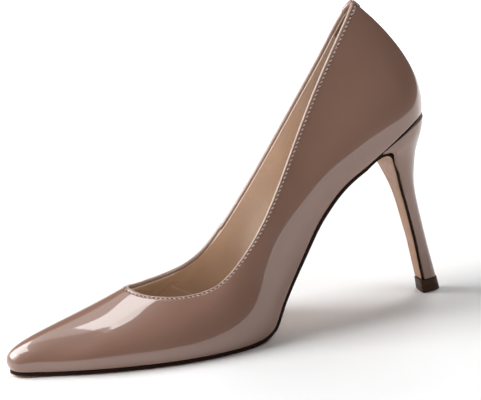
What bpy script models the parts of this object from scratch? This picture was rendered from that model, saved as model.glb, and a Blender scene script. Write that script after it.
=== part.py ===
"""Pointed-toe high heel pump, left foot, modelled as the separate pieces it is made from.

Lengths in this file are millimetres until a mesh is made. In the design frame x runs from the
toe tip (0) back to the heel, y is positive on the medial (inner) side and negative on the
lateral (outer) side, and z is up from the ground. The finished model is centred over its origin.
"""

import math

import bmesh
import bpy
import numpy as np
from mathutils import Vector

MM = 0.001
CENTRE_X = 112.1            # design x and y of the middle of the shoe's own box
CENTRE_Y = 0.81

GAP = 0.3                   # clearance kept between neighbouring pieces
LATERAL, MEDIAL = -1.0, 1.0

# Layers of the upper, measured inwards from its outer face.
UPPER_THICKNESS = 1.1
STIFFENER_THICKNESS = 0.8
LINING_THICKNESS = 0.8
STIFFENER_DEPTH = UPPER_THICKNESS + GAP
LINING_DEPTH = STIFFENER_DEPTH + STIFFENER_THICKNESS + GAP
INNER_FACE_DEPTH = LINING_DEPTH + LINING_THICKNESS
GRIP_THICKNESS = 0.5
TAPE_THICKNESS = 0.3
LINING_RIM_DEPTH = STIFFENER_DEPTH + TAPE_THICKNESS + GAP
COUNTER_TOP = 0.62          # share of the upper's height that the heel counter reaches
TAPE_FOOT = 0.88            # share of the height where the topline tape starts

# Layers of the bottom, measured up from the tread along its normal.
OUTSOLE_THICKNESS = 2.2
FILLER_THICKNESS = 2.0
INSOLE_THICKNESS = 1.6
PAD_THICKNESS = 1.4
SOCK_THICKNESS = 0.7
EDGE_LEVEL = OUTSOLE_THICKNESS + 1.5 * GAP
FILLER_LEVEL = OUTSOLE_THICKNESS + GAP
INSOLE_LEVEL = FILLER_LEVEL + FILLER_THICKNESS + GAP
PAD_LEVEL = INSOLE_LEVEL + INSOLE_THICKNESS + GAP
SOCK_LEVEL = PAD_LEVEL + PAD_THICKNESS + GAP

# Height of the tread's middle line along the shoe: flat under the ball, steep at the shank.
TREAD_PROFILE = [
    (0, 1.3), (10, 0.5), (20, 0.0), (45, 0.0), (80, 0.0), (108, 0.0), (119, 0.7), (127, 3.8), (135, 15.6),
    (147, 32.6), (160, 52.4), (172, 65.4), (186, 74.8), (197, 82.0), (205, 87.0), (213, 91.0), (222, 93.2),
]
TOE_X, HEEL_X = TREAD_PROFILE[0][0], TREAD_PROFILE[-1][0]

# Lines of the upper from its lower edge to the topline, from the toe round to the heel's back:
# edge (x, half width), lower handle (x, out, up), upper handle (x, out, up), topline (x, half width, z).
UPPER_LINES = [
    ((1.0, 0.0), (-6.8, 0.0, 12.8), (-39.0, 0.0, -14.9), (62.6, 0.0, 32.8)),
    ((3.7, 6.2), (-2.8, 1.5, 10.3), (-36.5, 1.0, -12.9), (67.0, 8.5, 30.8)),
    ((14.0, 11.0), (-3.3, 3.5, 9.9), (-27.7, 2.6, -11.2), (74.0, 14.3, 29.6)),
    ((32.0, 19.5), (-4.4, 5.2, 9.6), (-19.3, 4.1, -10.5), (82.0, 19.0, 29.2)),
    ((58.0, 28.8), (-1.4, 5.0, 9.4), (-12.6, 5.5, -10.4), (92.0, 22.3, 30.1)),
    ((88.0, 34.3), (1.0, 3.5, 9.0), (-6.0, 6.5, -11.0), (103.0, 23.9, 34.0)),
    ((116.0, 31.0), (-0.5, 3.5, 12.0), (-1.0, 5.5, -13.0), (115.0, 23.6, 44.2)),
    ((140.0, 20.2), (-4.0, 5.5, 12.0), (3.0, 5.5, -14.0), (128.0, 21.9, 60.0)),
    ((163.0, 18.4), (-7.0, 5.5, 13.0), (7.0, 5.0, -16.0), (143.0, 16.4, 82.5)),
    ((187.0, 20.3), (-8.0, 3.5, 15.0), (10.0, 5.0, -17.0), (159.0, 10.3, 108.1)),
    ((205.6, 19.0), (-4.4, 2.8, 17.6), (13.6, 4.5, -15.5), (174.2, 6.6, 131.3)),
    ((216.4, 11.5), (0.0, 2.0, 18.4), (16.4, 3.0, -15.2), (185.2, 4.7, 147.6)),
    ((220.8, 0.0), (4.0, 0.0, 18.1), (16.6, 0.0, -15.0), (189.8, 0.0, 153.4)),
]
# How the medial side's lower edge differs: line number, change in x, change in half width.
MEDIAL_EDGE_CHANGES = {
    2: (0, 0.8), 3: (0, 2.0), 4: (-2, 2.2), 5: (-5, 2.0), 6: (-7, 0.4), 7: (-4, -1.8), 8: (-2, -1.8),
}

# Seams, as line numbers counted from the toe on one side.
BACK_LINE = len(UPPER_LINES) - 1
SIDE_SEAM_LINE = 6.3
LINING_SEAM_LINE = 4.4
HEEL_GRIP_LINE = 10.4
COUNTER_LINE = 8.6
TOE_PUFF_LINE = 2.6

# The heel's outline: front x and z, back x and z, half width, bulge of the section upwards.
HEEL_SECTIONS = [
    (214.9, 7.2, 222.5, 7.2, 4.4, 0.0),
    (213.4, 16.0, 220.9, 15.5, 4.7, 0.0),
    (211.8, 28.0, 218.6, 27.5, 5.1, 0.0),
    (209.9, 38.0, 216.8, 38.0, 5.6, 0.0),
    (207.5, 50.0, 214.9, 50.0, 6.2, 0.0),
    (205.3, 58.7, 214.2, 60.7, 7.6, 0.0),
    (202.9, 66.5, 214.7, 69.2, 11.0, 0.2),
    (201.3, 72.0, 215.8, 76.0, 13.6, 0.5),
    (200.3, 76.5, 217.6, 82.0, 16.2, 0.8),
    (199.4, 79.0, 219.1, 86.5, 17.9, 1.2),
    (197.2, 80.4, 220.0, 89.9, 18.9, 1.5),
    (193.5, 80.3, 220.6, 93.0, 19.4, 1.8),
]
HEEL_SQUARENESS = 2.4       # superellipse power of a heel section
COVER_THICKNESS = 0.7

# The outsole's middle line once it leaves the shank, over the arch and down the heel breast:
# x, z, half width.
BREAST_LINE = [
    (186.0, 74.6, 18.8), (190.2, 77.0, 18.4), (194.0, 77.8, 17.6), (197.0, 76.6, 16.0), (198.7, 73.4, 14.2),
    (201.0, 67.0, 11.3), (203.6, 58.7, 7.6), (205.9, 50.0, 6.2), (208.3, 38.0, 5.6), (210.2, 28.0, 5.1),
    (211.9, 16.0, 4.7), (213.2, 7.3, 4.4),
]
FLAP_THICKNESS = 1.2
SKIVING_X = (176.0, 190.0)   # where the sole thins down to the flap

LIFT_HEIGHT = 6.9
LIFT_FRONT_X, LIFT_BACK_X = 213.6, 224.2
LIFT_HALF_WIDTH = 4.7

# Hardware. Places are x and y; heights follow from the layers that each piece holds together.
SHANK_HALF_WIDTH = 5.5
SHANK_THICKNESS = 1.0
SHANK_SPAN = (118.0, 196.0)
RIVET_RADIUS = 1.3
RIVET_PLACES = (126.0, 178.0)
NAIL_SIZES = (13.0, 0.8, 1.7, 0.8)      # length, radius, head radius, head height
NAIL_PLACES = [(205.5, -9.5), (205.5, 9.5), (214.0, -7.0), (214.0, 7.0)]
SCREW_SIZES = (24.0, 1.9, 3.4, 1.4)
SCREW_X = 210.0
TUBE_FOOT, TUBE_TOP = (218.6, 7.6), (211.5, 50.0)
TUBE_RADIUS, TUBE_BORE = 1.7, 1.1
PIN_RADIUS = 0.75
PIN_FOOT_HEIGHT = 2.6
PIN_REACH = 0.35            # share of the tube that the pin fills
RAND_LEVEL, RAND_THICKNESS = 1.0, 1.2


# ---------------------------------------------------------------- curves

def cubic_through(knots, values, samples, closed=False):
    """Smooth (second-order continuous) curve through the values, read at the samples."""
    knots = np.asarray(knots, float)
    values = np.asarray(values, float)
    flat = values.reshape(len(knots), -1)
    count = len(knots)
    steps = np.diff(knots)
    system = np.zeros((count, count))
    right = np.zeros_like(flat)
    for i in range(1, count - 1):
        system[i, i - 1] = steps[i - 1]
        system[i, i] = 2 * (steps[i - 1] + steps[i])
        system[i, i + 1] = steps[i]
        right[i] = 6 * ((flat[i + 1] - flat[i]) / steps[i] - (flat[i] - flat[i - 1]) / steps[i - 1])
    if closed:
        system[0, 0], system[0, -1] = 1, -1
        system[-1, 0] = 2 * steps[0]
        system[-1, 1] = steps[0]
        system[-1, -2] = steps[-1]
        system[-1, -1] = 2 * steps[-1]
        right[-1] = 6 * ((flat[1] - flat[0]) / steps[0] - (flat[-1] - flat[-2]) / steps[-1])
    else:
        system[0, 0] = system[-1, -1] = 1
    bends = np.linalg.solve(system, right)
    samples = np.clip(np.asarray(samples, float), knots[0], knots[-1])
    span = np.clip(np.searchsorted(knots, samples) - 1, 0, count - 2)
    step = steps[span][:, None]
    before = (knots[span + 1] - samples)[:, None] / step
    after = 1 - before
    result = before * flat[span] + after * flat[span + 1]
    result += ((before ** 3 - before) * bends[span] + (after ** 3 - after) * bends[span + 1]) * step ** 2 / 6
    return result.reshape((len(samples),) + values.shape[1:])


def monotone_through(points, samples):
    """Curve z(x) through the points that never overshoots between them."""
    x, z = np.array(points, float).T
    steps = np.diff(x)
    slopes = np.diff(z) / steps
    tangents = np.zeros_like(x)
    for i in range(1, len(x) - 1):
        if slopes[i - 1] * slopes[i] > 0:
            weight_a = 2 * steps[i] + steps[i - 1]
            weight_b = steps[i] + 2 * steps[i - 1]
            tangents[i] = (weight_a + weight_b) / (weight_a / slopes[i - 1] + weight_b / slopes[i])
    tangents[0], tangents[-1] = slopes[0], slopes[-1]
    samples = np.clip(np.asarray(samples, float), x[0], x[-1])
    span = np.clip(np.searchsorted(x, samples) - 1, 0, len(x) - 2)
    t = (samples - x[span]) / steps[span]
    return ((1 + 2 * t) * (1 - t) ** 2 * z[span] + t * (1 - t) ** 2 * steps[span] * tangents[span]
            + t ** 2 * (3 - 2 * t) * z[span + 1] + t ** 2 * (t - 1) * steps[span] * tangents[span + 1])


def tread_height(x):
    return monotone_through(TREAD_PROFILE, x)


def tread_level(x, level):
    """The point of the side view that lies a given level above the tread at x, along its normal."""
    x = np.asarray(x, float)
    slope = (tread_height(x + 0.5) - tread_height(x - 0.5)) / 1.0
    size = np.sqrt(1 + slope ** 2)
    return x - level * slope / size, tread_height(x) + level / size


def height_at_level(x, level):
    """Height at x of the surface that lies a given level above the tread."""
    base = np.linspace(TOE_X, HEEL_X, 445)
    along, height = tread_level(base, level)
    return np.interp(np.asarray(x, float), along, height)


# ---------------------------------------------------------------- the upper's surface

def upper_stations():
    """Control lines all the way round: toe, lateral side, heel back, medial side, toe again."""
    lines = []
    for side in (LATERAL, MEDIAL):
        numbers = range(BACK_LINE) if side == LATERAL else range(BACK_LINE, -1, -1)
        for number in numbers:
            (edge_x, edge_w), low, high, (rim_x, rim_w, rim_z) = UPPER_LINES[number]
            if side == MEDIAL and number in MEDIAL_EDGE_CHANGES:
                edge_x += MEDIAL_EDGE_CHANGES[number][0]
                edge_w += MEDIAL_EDGE_CHANGES[number][1]
            edge_z = float(height_at_level(edge_x, EDGE_LEVEL))
            edge = np.array([edge_x, side * edge_w, edge_z])
            rim = np.array([rim_x, side * rim_w, rim_z])
            turn = np.array([1, side, 1])
            lines.append([edge, edge + turn * low, rim + turn * high, rim])
    return np.array(lines)


STATIONS = upper_stations()
STATION_COUNT = len(STATIONS)
STATION_STEPS = np.linalg.norm(np.diff(STATIONS.mean(axis=1), axis=0), axis=1)
STATION_KNOTS = np.concatenate([[0], np.cumsum(np.sqrt(STATION_STEPS))])


def upper_point(station, height):
    """Points on the upper's outer face, at a station number round the shoe (0 toe, BACK_LINE
    heel back, 2 * BACK_LINE toe again) and a height from 0 at the edge to 1 at the topline."""
    station, height = np.broadcast_arrays(np.asarray(station, float), np.asarray(height, float))
    knots = np.interp(np.mod(station.ravel(), 2 * BACK_LINE), np.arange(STATION_COUNT), STATION_KNOTS)
    lines = cubic_through(STATION_KNOTS, STATIONS, knots, closed=True)
    correction = height_at_level(lines[:, 0, 0], EDGE_LEVEL) - lines[:, 0, 2]
    lines[:, :2, 2] += correction[:, None]
    h = height.ravel()[:, None]
    points = ((1 - h) ** 3 * lines[:, 0] + 3 * h * (1 - h) ** 2 * lines[:, 1]
              + 3 * h ** 2 * (1 - h) * lines[:, 2] + h ** 3 * lines[:, 3])
    return points.reshape(station.shape + (3,))


def upper_inside(station, height, depth):
    """Points a given depth inside the upper's outer face."""
    small = 0.02
    station, height = np.broadcast_arrays(np.asarray(station, float), np.asarray(height, float))
    low = np.clip(height - small, 0, 1)
    high = np.clip(height + small, 0, 1)
    round_step = upper_point(station + small, height) - upper_point(station - small, height)
    up_step = upper_point(station, high) - upper_point(station, low)
    normal = np.cross(up_step, round_step)
    normal /= np.linalg.norm(normal, axis=-1, keepdims=True)
    return upper_point(station, height) + normal * depth


# ---------------------------------------------------------------- Blender objects

def start_collections():
    for old in list(bpy.data.objects):
        bpy.data.objects.remove(old, do_unlink=True)
    groups = []
    for name in ("high_heel_pump", "cutters"):
        group = bpy.data.collections.new(name)
        bpy.context.scene.collection.children.link(group)
        groups.append(group)
    return groups


PARTS, CUTTERS = start_collections()


def make_material(name, colour, roughness, metallic=0.0, coat=0.0):
    material = bpy.data.materials.new(name)
    material.use_nodes = True
    shader = material.node_tree.nodes["Principled BSDF"]
    shader.inputs["Base Color"].default_value = (*colour, 1.0)
    shader.inputs["Roughness"].default_value = roughness
    shader.inputs["Metallic"].default_value = metallic
    shader.inputs["Coat Weight"].default_value = coat
    material.diffuse_color = (*colour, 1.0)
    return material


def to_world(points):
    points = np.asarray(points, float).reshape(-1, 3)
    return (points - [CENTRE_X, CENTRE_Y, 0]) * MM


def add_object(name, mesh, material, group=None):
    obj = bpy.data.objects.new(name, mesh)
    (group or PARTS).objects.link(obj)
    if material:
        mesh.materials.append(material)
    return obj


def mesh_from(name, points, faces):
    mesh = bpy.data.meshes.new(name)
    mesh.from_pydata([tuple(p) for p in to_world(points)], [], faces)
    mesh.update()
    return mesh


def grid_faces(rows, columns, closed=False):
    """Quads of a grid of points listed row by row; closed joins the last column to the first."""
    faces = []
    across = columns if closed else columns - 1
    for i in range(rows - 1):
        for j in range(across):
            k = (j + 1) % columns
            faces.append((i * columns + j, i * columns + k, (i + 1) * columns + k, (i + 1) * columns + j))
    return faces


def make_sheet(name, grid, thickness, material, smooth=True):
    """A shell: an open grid of points thickened to one side of its faces."""
    rows, columns = grid.shape[:2]
    mesh = mesh_from(name, grid, grid_faces(rows, columns))
    obj = add_object(name, mesh, material)
    solidify = obj.modifiers.new("thickness", "SOLIDIFY")
    solidify.thickness = thickness * MM
    solidify.offset = -1.0
    solidify.use_even_offset = True
    solidify.use_quality_normals = True
    if smooth:
        mesh.shade_smooth()
    return obj


def make_loft(name, rings, material, group=None):
    """A solid through closed rings of equally many points, with a flat cap at each end."""
    rows, columns = rings.shape[:2]
    faces = grid_faces(rows, columns, closed=True)
    faces.append(tuple(range(columns - 1, -1, -1)))
    faces.append(tuple((rows - 1) * columns + j for j in range(columns)))
    mesh = mesh_from(name, rings, faces)
    build = bmesh.new()
    build.from_mesh(mesh)
    bmesh.ops.recalc_face_normals(build, faces=build.faces)
    bmesh.ops.triangulate(build, faces=[face for face in build.faces if len(face.verts) > 4])
    build.to_mesh(mesh)
    build.free()
    return add_object(name, mesh, material, group)


def make_rod(name, start, end, radius, material, sides=12, group=None):
    """A round bar between two points of the design frame."""
    start, end = (Vector(point) for point in to_world([start, end]))
    build = bmesh.new()
    bmesh.ops.create_cone(build, cap_ends=True, segments=sides, radius1=radius * MM, radius2=radius * MM,
                          depth=(end - start).length)
    mesh = bpy.data.meshes.new(name)
    build.to_mesh(mesh)
    build.free()
    obj = add_object(name, mesh, material, group)
    obj.location = (start + end) / 2
    obj.rotation_euler = (end - start).to_track_quat("Z", "Y").to_euler()
    return obj


def make_headed_rod(name, top, length, radius, head_radius, head_height, material):
    """A nail or screw standing upright: a turned profile with its head at the top."""
    profile = [(0, 0), (head_radius, 0), (head_radius, -head_height), (radius, -head_height),
               (radius, radius - length), (0, -length)]
    mesh = bpy.data.meshes.new(name)
    edges = [(i, i + 1) for i in range(len(profile) - 1)]
    mesh.from_pydata([(r * MM, 0, z * MM) for r, z in profile], edges, [])
    obj = add_object(name, mesh, material)
    obj.location = to_world(top)[0]
    turn = obj.modifiers.new("turn", "SCREW")
    turn.axis = "Z"
    turn.angle = 2 * math.pi
    turn.steps = turn.render_steps = 12
    turn.use_merge_vertices = True
    turn.merge_threshold = 0.00001
    return obj


def move_to_cutters(obj):
    PARTS.objects.unlink(obj)
    CUTTERS.objects.link(obj)


def cut(obj, cutter):
    cutter.hide_render = True
    cutter.display_type = "WIRE"
    boolean = obj.modifiers.new("cut_" + cutter.name, "BOOLEAN")
    boolean.operation = "DIFFERENCE"
    boolean.solver = "EXACT"
    boolean.object = cutter


# ---------------------------------------------------------------- pieces of the upper

def upper_sheet(name, first, last, low, high, depth, thickness, material, columns, rows, rim_depth=None):
    """A layer of the upper between two stations, each one number or one per row of the grid.
    Its depth may change towards the topline."""
    heights = np.linspace(low, high, rows)
    first, last = (np.broadcast_to(end, rows)[:, None] for end in (first, last))
    stations = first + (last - first) * np.linspace(0, 1, columns)
    if rim_depth is not None:
        share = np.clip((heights - COUNTER_TOP) / (TAPE_FOOT - COUNTER_TOP), 0, 1)
        depth = (depth + (rim_depth - depth) * share)[:, None, None]
    grid = upper_inside(stations, heights[:, None], depth)
    return make_sheet(name, grid, thickness, material)


def make_upper(patent):
    """The two outer shells; they meet at the medial side seam and at the back seam, whose gap
    is wider in stations at the top, where the lines stand closer together."""
    medial_seam = 2 * BACK_LINE - SIDE_SEAM_LINE
    rows = 11
    side_gap = 0.03
    back_gap = np.linspace(0.035, 0.13, rows)
    upper_sheet("upper_vamp_and_lateral_quarter", -SIDE_SEAM_LINE + side_gap, BACK_LINE - back_gap,
                0.0, 1.0, 0.0, UPPER_THICKNESS, patent, 54, rows)
    upper_sheet("upper_medial_quarter", BACK_LINE + back_gap, medial_seam - side_gap,
                0.0, 1.0, 0.0, UPPER_THICKNESS, patent, 20, rows)


def make_back_tab(patent):
    """The small lens-shaped tab over the top of the back seam, mostly on its medial side."""
    tab_thickness = 0.7
    lateral_span, medial_span = 0.35, 0.95
    tab_depth = 0.085
    columns = 15
    stations = np.linspace(BACK_LINE - lateral_span, BACK_LINE + medial_span, columns)
    grid = []
    for share in np.linspace(0, 1, 5):
        reach = 0.012 + tab_depth * np.cos(np.linspace(-1, 1, columns) * math.pi / 2) ** 0.8
        heights = 1.0 - reach * (1 - share)
        grid.append(upper_inside(stations, heights, -(GAP + tab_thickness)))
    make_sheet("back_tab", np.array(grid), tab_thickness, patent)


def make_stiffeners(board, tape):
    upper_sheet("toe_puff", -TOE_PUFF_LINE, TOE_PUFF_LINE, 0.06, 0.46,
                STIFFENER_DEPTH, STIFFENER_THICKNESS, board, 19, 6)
    upper_sheet("heel_counter", COUNTER_LINE, 2 * BACK_LINE - COUNTER_LINE, 0.05, COUNTER_TOP - 0.02,
                STIFFENER_DEPTH, STIFFENER_THICKNESS, board, 23, 6)
    upper_sheet("topline_tape", -HEEL_GRIP_LINE + 0.1, HEEL_GRIP_LINE - 0.1, TAPE_FOOT, 0.97,
                STIFFENER_DEPTH, TAPE_THICKNESS, tape, 54, 2)


def make_linings(lining, grip):
    seam_gap = 0.03
    low, high = 0.10, 0.985
    around = 2 * BACK_LINE
    upper_sheet("vamp_lining", -LINING_SEAM_LINE + seam_gap, LINING_SEAM_LINE - seam_gap,
                low, high, LINING_DEPTH, LINING_THICKNESS, lining, 27, 9, LINING_RIM_DEPTH)
    upper_sheet("lateral_quarter_lining", LINING_SEAM_LINE + seam_gap, HEEL_GRIP_LINE - seam_gap,
                low, high, LINING_DEPTH, LINING_THICKNESS, lining, 15, 9, LINING_RIM_DEPTH)
    upper_sheet("medial_quarter_lining", around - HEEL_GRIP_LINE + seam_gap,
                around - LINING_SEAM_LINE - seam_gap,
                low, high, LINING_DEPTH, LINING_THICKNESS, lining, 15, 9, LINING_RIM_DEPTH)
    upper_sheet("heel_grip_lining", HEEL_GRIP_LINE + seam_gap, around - HEEL_GRIP_LINE - seam_gap,
                low, high, LINING_DEPTH, GRIP_THICKNESS, grip, 13, 11, STIFFENER_DEPTH)


# ---------------------------------------------------------------- pieces of the bottom

def edge_half_width(x, side):
    """Half width of the upper's lower edge at x, on one side."""
    first = 0 if side == LATERAL else BACK_LINE
    edge = upper_point(np.linspace(first, first + BACK_LINE, 241), 0.0)
    order = np.argsort(edge[:, 0])
    return np.interp(x, edge[order, 0], np.abs(edge[order, 1]))


def bottom_rows(first, last, count, inset):
    """Places along the shoe, packed towards the ends, and the half widths there."""
    share = (1 - np.cos(np.linspace(0, math.pi, count))) / 2
    xs = first + (last - first) * share
    widths = [np.maximum(edge_half_width(xs, side) - inset, 1.2) for side in (LATERAL, MEDIAL)]
    return xs, widths[0], widths[1]


def bottom_slab(name, first, last, level, thickness, inset, material, count=26, across=7, half_width=None):
    """A layer that follows the tread, its underside a given level above it."""
    xs, lateral, medial = bottom_rows(first, last, count, inset)
    if half_width is not None:
        lateral = np.minimum(lateral, half_width)
        medial = np.minimum(medial, half_width)
    along, height = tread_level(xs, level + thickness)
    grid = np.zeros((count, across, 3))
    for j, share in enumerate(np.linspace(0, 1, across)):
        grid[:, j, 0] = along
        grid[:, j, 1] = -lateral + share * (lateral + medial)
        grid[:, j, 2] = height
    return make_sheet(name, grid[:, ::-1], thickness, material, smooth=False)


def outsole_path():
    """The outsole's outer middle line with half widths: tread, shank, arch and heel breast."""
    xs = np.concatenate([[1.3, 2.0, 3.4, 5.5, 9, 14], np.linspace(20, 112, 14), np.linspace(116, 182, 20)])
    inset, least = 0.3, 1.0
    lateral, medial = (np.maximum(edge_half_width(xs, side) - inset, least) for side in (LATERAL, MEDIAL))
    front = np.column_stack([xs, tread_height(xs), lateral, medial])
    bend = np.array(BREAST_LINE)
    knots = np.concatenate([[0], np.cumsum(np.hypot(*np.diff(bend[:, :2], axis=0).T))])
    samples = np.concatenate([np.linspace(knots[0], knots[4], 13)[:-1], np.linspace(knots[4], knots[-1], 14)])
    curve = cubic_through(knots, bend, samples)
    back = np.column_stack([curve[:, 0], curve[:, 1], curve[:, 2], curve[:, 2]])
    return np.vstack([front, back])


def make_outsole(leather):
    """Thin leather sole that runs on over the arch and down the front of the heel as a flap."""
    path = outsole_path()
    tangents = np.gradient(path[:, :2], axis=0)
    tangents /= np.linalg.norm(tangents, axis=1, keepdims=True)
    inward = np.column_stack([-tangents[:, 1], tangents[:, 0]])
    thickness = np.interp(path[:, 0], SKIVING_X, [OUTSOLE_THICKNESS, FLAP_THICKNESS])
    bevel = 0.7
    rings = []
    for (x, z, lateral, medial), direction, depth in zip(path, inward, thickness):
        underside = [(y, 0.0) for y in np.linspace(bevel - lateral, medial - bevel, 7)]
        outline = underside + [(medial, bevel), (medial, depth), (-lateral, depth), (-lateral, bevel)]
        rings.append([(x + direction[0] * rise, y, z + direction[1] * rise) for y, rise in outline])
    return make_loft("outsole", np.array(rings), leather)


def make_bottom(cork, board, foam, sock, insole_board):
    inset = INNER_FACE_DEPTH + 1.2
    bottom_slab("bottom_filler", 12, 104, FILLER_LEVEL, FILLER_THICKNESS, inset, cork, 18)
    shank_board = bottom_slab("shank_board", 108, 213, FILLER_LEVEL, FILLER_THICKNESS, inset + 1, board, 30)
    insole = bottom_slab("insole_board", 8, 215, INSOLE_LEVEL, INSOLE_THICKNESS, inset, insole_board, 40)
    bottom_slab("ball_pad", 60, 103, PAD_LEVEL, PAD_THICKNESS, inset + 4, foam, 14, 5)
    bottom_slab("heel_pad", 172, 211, PAD_LEVEL, PAD_THICKNESS, inset + 3, foam, 12, 5)
    bottom_slab("sock_lining", 11, 212, SOCK_LEVEL, SOCK_THICKNESS, inset + 0.8, sock, 40)
    return shank_board, insole


def layer_point(x, y, level):
    along, height = tread_level(x, level)
    return np.array([float(along), y, float(height)])


def make_shank(shank_board, steel, brass):
    """Steel strip in a channel under the shank board, held by two rivets through both."""
    first, last = SHANK_SPAN
    clearance = 0.5
    channel_foot = 1.2
    channel = bottom_slab("shank_channel", first - clearance, last + clearance, FILLER_LEVEL - channel_foot,
                          channel_foot + SHANK_THICKNESS + GAP, 0, None, 26, 3, SHANK_HALF_WIDTH + clearance)
    move_to_cutters(channel)
    shank = bottom_slab("steel_shank", first, last, FILLER_LEVEL, SHANK_THICKNESS, 0, steel, 26, 3,
                        SHANK_HALF_WIDTH)
    cut(shank_board, channel)
    for number, x in enumerate(RIVET_PLACES, 1):
        hole = make_rod(f"rivet_hole_{number}", layer_point(x, 0, 0), layer_point(x, 0, INSOLE_LEVEL + 1),
                        RIVET_RADIUS + GAP, None, group=CUTTERS)
        cut(shank, hole)
        cut(shank_board, hole)
        make_rod(f"shank_rivet_{number}", layer_point(x, 0, FILLER_LEVEL),
                 layer_point(x, 0, FILLER_LEVEL + FILLER_THICKNESS), RIVET_RADIUS, brass)


def make_heel_seat_rand(edge_leather):
    """Thin dark layer between the upper's lower edge and the top of the heel."""
    return bottom_slab("heel_seat_rand", 197, 219.5, RAND_LEVEL, RAND_THICKNESS, 0.3, edge_leather, 16)


def make_fastener(name, x, y, length, radius, head_radius, head_height, material, layers, core):
    """A nail or screw from the insole's top straight down: head in the layers, point in the heel."""
    slope_allowance = 0.5 * head_radius
    above, below = 5.0, 1.0
    top = layer_point(x, y, INSOLE_LEVEL + INSOLE_THICKNESS - GAP) - [0, 0, slope_allowance]
    tip = top - [0, 0, length]
    make_headed_rod(name, top, length, radius, head_radius, head_height, material)
    hole_top = top + [0, 0, above]
    head_hole = make_rod(name + "_head_hole", hole_top, tip, head_radius + GAP, None, group=CUTTERS)
    for layer in layers:
        cut(layer, head_hole)
    cut(core, make_rod(name + "_hole", hole_top, tip - [0, 0, below], radius + GAP, None, group=CUTTERS))


def make_heel_fasteners(layers, core, steel, brass):
    make_fastener("heel_screw", SCREW_X, 0, *SCREW_SIZES, steel, layers, core)
    for number, (x, y) in enumerate(NAIL_PLACES, 1):
        make_fastener(f"heel_nail_{number}", x, y, *NAIL_SIZES, brass, layers, core)


def make_heel_tube(core, lift, steel):
    """Steel tube up the middle of the thin heel, and the lift's pin pressed into it."""
    foot, end = (np.array([x, 0.0, z]) for x, z in (TUBE_FOOT, TUBE_TOP))
    axis = (end - foot) / np.linalg.norm(end - foot)
    tube = make_rod("heel_tube", foot, end, TUBE_RADIUS, steel, 16)
    cut(tube, make_rod("tube_bore", foot - 2 * axis, end + 2 * axis, TUBE_BORE, None, 16, CUTTERS))
    cut(core, make_rod("tube_hole", foot - 2 * axis, end + axis, TUBE_RADIUS + GAP, None, 16, CUTTERS))
    pin_foot = foot + axis * (PIN_FOOT_HEIGHT - foot[2]) / axis[2]
    make_rod("top_lift_pin", pin_foot, foot + (end - foot) * PIN_REACH, PIN_RADIUS, steel, 10)
    hole_foot = pin_foot - GAP * axis
    cut(lift, make_rod("pin_hole", hole_foot, foot + 3 * axis, PIN_RADIUS + GAP, None, 16, CUTTERS))


# ---------------------------------------------------------------- the heel

def heel_section(row, inset, count):
    """Half-open outline of one heel section, from its front lateral corner round the back."""
    front_x, front_z, back_x, back_z, half_width, bulge = row
    front = np.array([front_x, front_z])
    back = np.array([back_x, back_z])
    length = np.linalg.norm(back - front)
    along = (back - front) / length
    up = np.array([-along[1], along[0]])
    angles = np.linspace(-math.pi / 2, math.pi / 2, count)
    power = 2 / HEEL_SQUARENESS
    reach = np.abs(np.cos(angles)) ** power
    spread = np.sign(np.sin(angles)) * np.abs(np.sin(angles)) ** power
    rise = bulge * 4 * reach * (1 - reach)
    middle = front + np.outer(reach * (length - inset), along) + np.outer(rise, up)
    return np.column_stack([middle[:, 0], spread * (half_width - inset), middle[:, 1]])


def heel_rows(count):
    table = np.array(HEEL_SECTIONS)
    knots = np.concatenate([[0], np.cumsum(np.hypot(*np.diff(table[:, 2:4], axis=0).T))])
    return cubic_through(knots, table, np.linspace(knots[0], knots[-1], count))


def make_heel(plastic, patent):
    rows = heel_rows(20)
    columns = 17
    core_inset = COVER_THICKNESS + 2.5 * GAP
    rings = np.array([heel_section(row, core_inset, columns) for row in rows])
    core = make_loft("heel_core", rings, plastic)
    cover = np.array([heel_section(row, 0.0, columns) for row in rows])
    make_sheet("heel_cover", cover, COVER_THICKNESS, patent)
    return core


def make_top_lift(rubber):
    """D-shaped wearing piece under the heel, flat on the ground."""
    angles = np.linspace(-math.pi / 2, math.pi / 2, 17)
    length = LIFT_BACK_X - LIFT_FRONT_X
    power = 2 / HEEL_SQUARENESS
    outline = [(LIFT_FRONT_X + length * abs(math.cos(a)) ** power,
                LIFT_HALF_WIDTH * math.copysign(abs(math.sin(a)) ** power, a)) for a in angles]
    taper = 0.94
    middle_x = (LIFT_FRONT_X + LIFT_BACK_X) / 2
    lean = -0.9
    low = [(x, y, 0.0) for x, y in outline]
    high = [(middle_x + (x - middle_x) * taper + lean, y * taper, LIFT_HEIGHT) for x, y in outline]
    return make_loft("top_lift", np.array([low, high]), rubber)


# ---------------------------------------------------------------- assembly

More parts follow.
